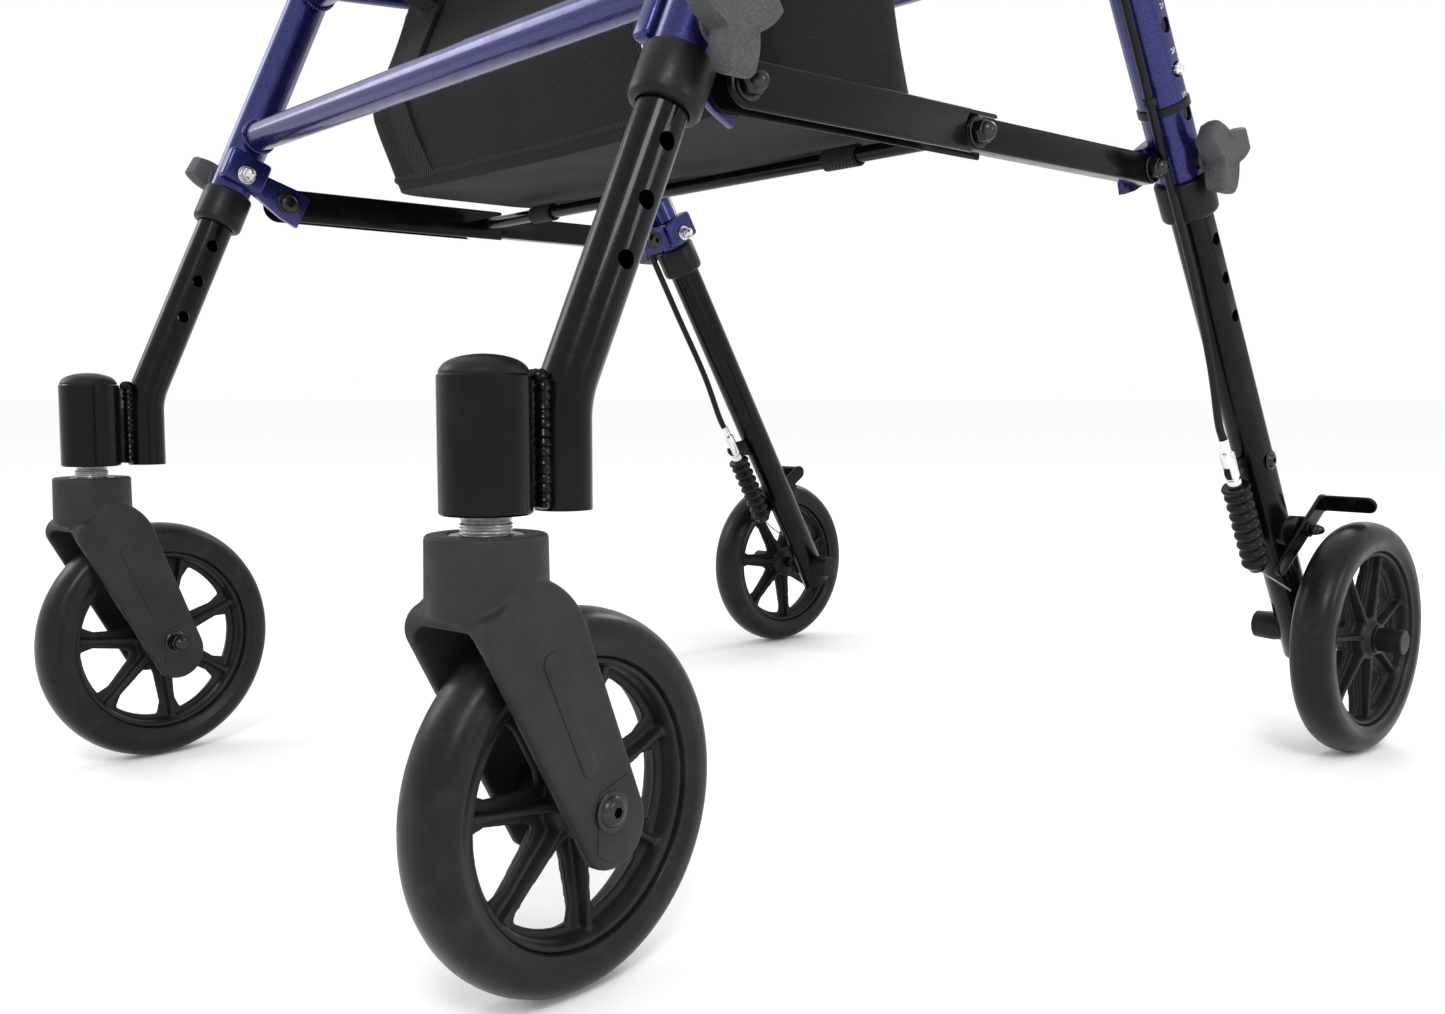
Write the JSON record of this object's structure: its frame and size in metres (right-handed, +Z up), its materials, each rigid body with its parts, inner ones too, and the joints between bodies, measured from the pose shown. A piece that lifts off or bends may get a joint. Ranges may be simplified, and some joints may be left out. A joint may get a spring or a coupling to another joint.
{
  "type": "four-wheeled walking frame",
  "caption": "Folding rollator: height-adjustable legs, swivel front casters, braked rear wheels, seat, carrying bag and padded backrest.",
  "frame": {"origin": "centre of the bounding box on the floor", "axes": "+Z up; -Y is the front, where the swivel casters are; +X is the left side as seen by the person seated facing forward"},
  "size_m": [0.6142, 0.7524, 0.9245],
  "materials": {
    "blue_paint": "gloss metallic",
    "black_paint": "gloss",
    "black_plastic": "satin",
    "grey_plastic": "fine texture",
    "zinc_steel": "plated",
    "tyre": "satin polyurethane",
    "rubber": "gloss",
    "foam": "closed-cell foam",
    "vinyl": "coated fabric",
    "nylon": "woven"
  },
  "bodies": {
    "frame": {"front_leg_tube_left": "blue_paint", "front_leg_tube_right": "blue_paint", "front_collar_left": "black_plastic", "front_collar_right": "black_plastic", "lower_cross_tube": "blue_paint", "seat_frame": "blue_paint", "backrest_bar": "black_paint", "backrest_pad": "foam", "bag": "nylon", "brake_cable_left": "rubber", "brake_cable_right": "rubber"},
    "rear_frame": {"rear_leg_tube_left": "blue_paint", "rear_leg_tube_right": "blue_paint", "rear_collar_left": "black_plastic", "rear_collar_right": "black_plastic", "rear_cross_tube": "blue_paint"},
    "spreader": {"front_link_left": "black_paint", "front_link_right": "black_paint", "sync_rod": "black_paint"},
    "seat": {"seat": "vinyl"},
    "front_leg_left": {"caster_leg_left": "black_paint"},
    "caster_left": {"caster_fork_left": "grey_plastic", "caster_stem_left": "zinc_steel", "caster_axle_left": "zinc_steel"},
    "front_wheel_left": {"front_tyre_left": "tyre", "front_rim_left": "black_plastic"},
    "rear_leg_left": {"rear_leg_inner_left": "black_paint", "rear_axle_left": "black_plastic", "bellows_left": "rubber"},
    "rear_wheel_left": {"rear_tyre_left": "tyre", "rear_rim_left": "black_plastic"},
    "button_left": {"snap_button_left": "zinc_steel"},
    "arm_left": {"brake_arm_left": "black_paint"},
    "rear_link_body_left": {"rear_link_left": "black_paint"},
    "handle_left": {"handle_tube_left": "black_paint", "grip_left": "rubber"},
    "lever_left": {"brake_lever_left": "black_plastic"},
    "front_knob_body_left": {"front_knob_left": "grey_plastic"},
    "rear_knob_body_left": {"rear_knob_left": "grey_plastic"},
    "handle_knob_body_left": {"handle_knob_left": "grey_plastic"},
    "front_leg_right": {"caster_leg_right": "black_paint"},
    "caster_right": {"caster_fork_right": "grey_plastic", "caster_stem_right": "zinc_steel", "caster_axle_right": "zinc_steel"},
    "front_wheel_right": {"front_tyre_right": "tyre", "front_rim_right": "black_plastic"},
    "rear_leg_right": {"rear_leg_inner_right": "black_paint", "rear_axle_right": "black_plastic", "bellows_right": "rubber"},
    "rear_wheel_right": {"rear_tyre_right": "tyre", "rear_rim_right": "black_plastic"},
    "button_right": {"snap_button_right": "zinc_steel"},
    "arm_right": {"brake_arm_right": "black_paint"},
    "rear_link_body_right": {"rear_link_right": "black_paint"},
    "handle_right": {"handle_tube_right": "black_paint", "grip_right": "rubber"},
    "lever_right": {"brake_lever_right": "black_plastic"},
    "front_knob_body_right": {"front_knob_right": "grey_plastic"},
    "rear_knob_body_right": {"rear_knob_right": "grey_plastic"},
    "handle_knob_body_right": {"handle_knob_right": "grey_plastic"}
  },
  "joints": [
    {"name": "frame_fold", "type": "hinge", "parent": "frame", "child": "rear_frame", "pos_m": [0, 0.0394, 0.528], "axis": [-1, 0, 0], "range_deg": [0, 42], "deforming": ["bag", "brake_cable_left", "brake_cable_right"]},
    {"name": "link_front", "type": "hinge", "parent": "frame", "child": "spreader", "pos_m": [0, -0.2112, 0.3635], "axis": [1, 0, 0], "range_deg": [0, 58.6]},
    {"name": "seat_lift", "type": "hinge", "parent": "frame", "child": "seat", "pos_m": [0, -0.15032, 0.542], "axis": [1, 0, 0], "range_deg": [0, 45]},
    {"name": "front_height_left", "type": "slide", "parent": "frame", "child": "front_leg_left", "axis": [0, 0.3971, 0.9178], "range_m": [-0.0508, 0.0508]},
    {"name": "caster_swivel_left", "type": "hinge", "parent": "front_leg_left", "child": "caster_left", "pos_m": [0.236, -0.3376, 0.19], "axis": [0, 0, 1], "continuous": true},
    {"name": "front_roll_left", "type": "hinge", "parent": "caster_left", "child": "front_wheel_left", "pos_m": [0.22998, -0.29957, 0.0763], "axis": [0.9877, 0.1564, 0], "continuous": true},
    {"name": "rear_height_left", "type": "slide", "parent": "rear_frame", "child": "rear_leg_left", "axis": [0, -0.5, 0.866], "range_m": [-0.0508, 0.0508], "deforming": ["snap_button_left", "brake_cable_left"]},
    {"name": "rear_roll_left", "type": "hinge", "parent": "rear_leg_left", "child": "rear_wheel_left", "pos_m": [0.2771, 0.2999, 0.0763], "axis": [1, 0, 0], "continuous": true},
    {"name": "button_press_left", "type": "slide", "parent": "rear_leg_left", "child": "button_left", "axis": [-1, 0, 0], "range_m": [0, 0.004], "stiffness_N_per_m": 800},
    {"name": "brake_arm_turn_left", "type": "hinge", "parent": "rear_leg_left", "child": "arm_left", "pos_m": [0.2, 0.2794, 0.147], "axis": [-1, 0, 0], "range_deg": [0, 11], "stiffness_Nm_per_rad": 0.8, "springref_deg": -11.46},
    {"name": "handle_height_left", "type": "slide", "parent": "frame", "child": "handle_left", "axis": [0, 0.3971, 0.9178], "range_m": [-0.0508, 0.0508], "deforming": ["brake_cable_left"]},
    {"name": "brake_lever_squeeze_left", "type": "hinge", "parent": "handle_left", "child": "lever_left", "pos_m": [0.236, 0.01677, 0.883], "axis": [1, 0, 0], "range_deg": [0, 6], "stiffness_Nm_per_rad": 1.5, "springref_deg": -8.59},
    {"name": "link_rear_left", "type": "hinge", "parent": "rear_frame", "child": "rear_link_body_left", "pos_m": [0.2315, 0.1019, 0.3635], "axis": [-1, 0, 0], "range_deg": [0, 9.4]},
    {"name": "front_knob_turn_left", "type": "hinge", "parent": "frame", "child": "front_knob_body_left", "pos_m": [0.26, -0.24085, 0.379], "axis": [1, 0, 0], "range_deg": [0, 720]},
    {"name": "rear_knob_turn_left", "type": "hinge", "parent": "rear_frame", "child": "rear_knob_body_left", "pos_m": [0.26, 0.12947, 0.3715], "axis": [1, 0, 0], "range_deg": [0, 720]},
    {"name": "handle_knob_turn_left", "type": "hinge", "parent": "frame", "child": "handle_knob_body_left", "pos_m": [0.26, -0.08377, 0.742], "axis": [1, 0, 0], "range_deg": [0, 720]},
    {"name": "front_height_right", "type": "slide", "parent": "frame", "child": "front_leg_right", "axis": [0, 0.3971, 0.9178], "range_m": [-0.0508, 0.0508]},
    {"name": "caster_swivel_right", "type": "hinge", "parent": "front_leg_right", "child": "caster_right", "pos_m": [-0.236, -0.3376, 0.19], "axis": [0, 0, 1], "continuous": true},
    {"name": "front_roll_right", "type": "hinge", "parent": "caster_right", "child": "front_wheel_right", "pos_m": [-0.24202, -0.29957, 0.0763], "axis": [0.9877, 0.1564, 0], "continuous": true},
    {"name": "rear_height_right", "type": "slide", "parent": "rear_frame", "child": "rear_leg_right", "axis": [0, -0.5, 0.866], "range_m": [-0.0508, 0.0508], "deforming": ["snap_button_right", "brake_cable_right"]},
    {"name": "rear_roll_right", "type": "hinge", "parent": "rear_leg_right", "child": "rear_wheel_right", "pos_m": [-0.2771, 0.2999, 0.0763], "axis": [1, 0, 0], "continuous": true},
    {"name": "button_press_right", "type": "slide", "parent": "rear_leg_right", "child": "button_right", "axis": [1, 0, 0], "range_m": [0, 0.004], "stiffness_N_per_m": 800},
    {"name": "brake_arm_turn_right", "type": "hinge", "parent": "rear_leg_right", "child": "arm_right", "pos_m": [-0.2, 0.2794, 0.147], "axis": [-1, 0, 0], "range_deg": [0, 11], "stiffness_Nm_per_rad": 0.8, "springref_deg": -11.46},
    {"name": "handle_height_right", "type": "slide", "parent": "frame", "child": "handle_right", "axis": [0, 0.3971, 0.9178], "range_m": [-0.0508, 0.0508], "deforming": ["brake_cable_right"]},
    {"name": "brake_lever_squeeze_right", "type": "hinge", "parent": "handle_right", "child": "lever_right", "pos_m": [-0.236, 0.01677, 0.883], "axis": [1, 0, 0], "range_deg": [0, 6], "stiffness_Nm_per_rad": 1.5, "springref_deg": -8.59},
    {"name": "link_rear_right", "type": "hinge", "parent": "rear_frame", "child": "rear_link_body_right", "pos_m": [-0.2315, 0.1019, 0.3635], "axis": [-1, 0, 0], "range_deg": [0, 9.4]},
    {"name": "front_knob_turn_right", "type": "hinge", "parent": "frame", "child": "front_knob_body_right", "pos_m": [-0.26, -0.24085, 0.379], "axis": [-1, 0, 0], "range_deg": [0, 720]},
    {"name": "rear_knob_turn_right", "type": "hinge", "parent": "rear_frame", "child": "rear_knob_body_right", "pos_m": [-0.26, 0.12947, 0.3715], "axis": [-1, 0, 0], "range_deg": [0, 720]},
    {"name": "handle_knob_turn_right", "type": "hinge", "parent": "frame", "child": "handle_knob_body_right", "pos_m": [-0.26, -0.08377, 0.742], "axis": [-1, 0, 0], "range_deg": [0, 720]}
  ],
  "couplings": [
    {"joint": "link_front", "follows": "frame_fold", "ratio": 1.39},
    {"joint": "brake_arm_turn_left", "follows": "brake_lever_squeeze_left", "ratio": 1.8},
    {"joint": "link_rear_left", "follows": "frame_fold", "ratio": 0.22},
    {"joint": "brake_arm_turn_right", "follows": "brake_lever_squeeze_right", "ratio": 1.8},
    {"joint": "link_rear_right", "follows": "frame_fold", "ratio": 0.22}
  ]
}
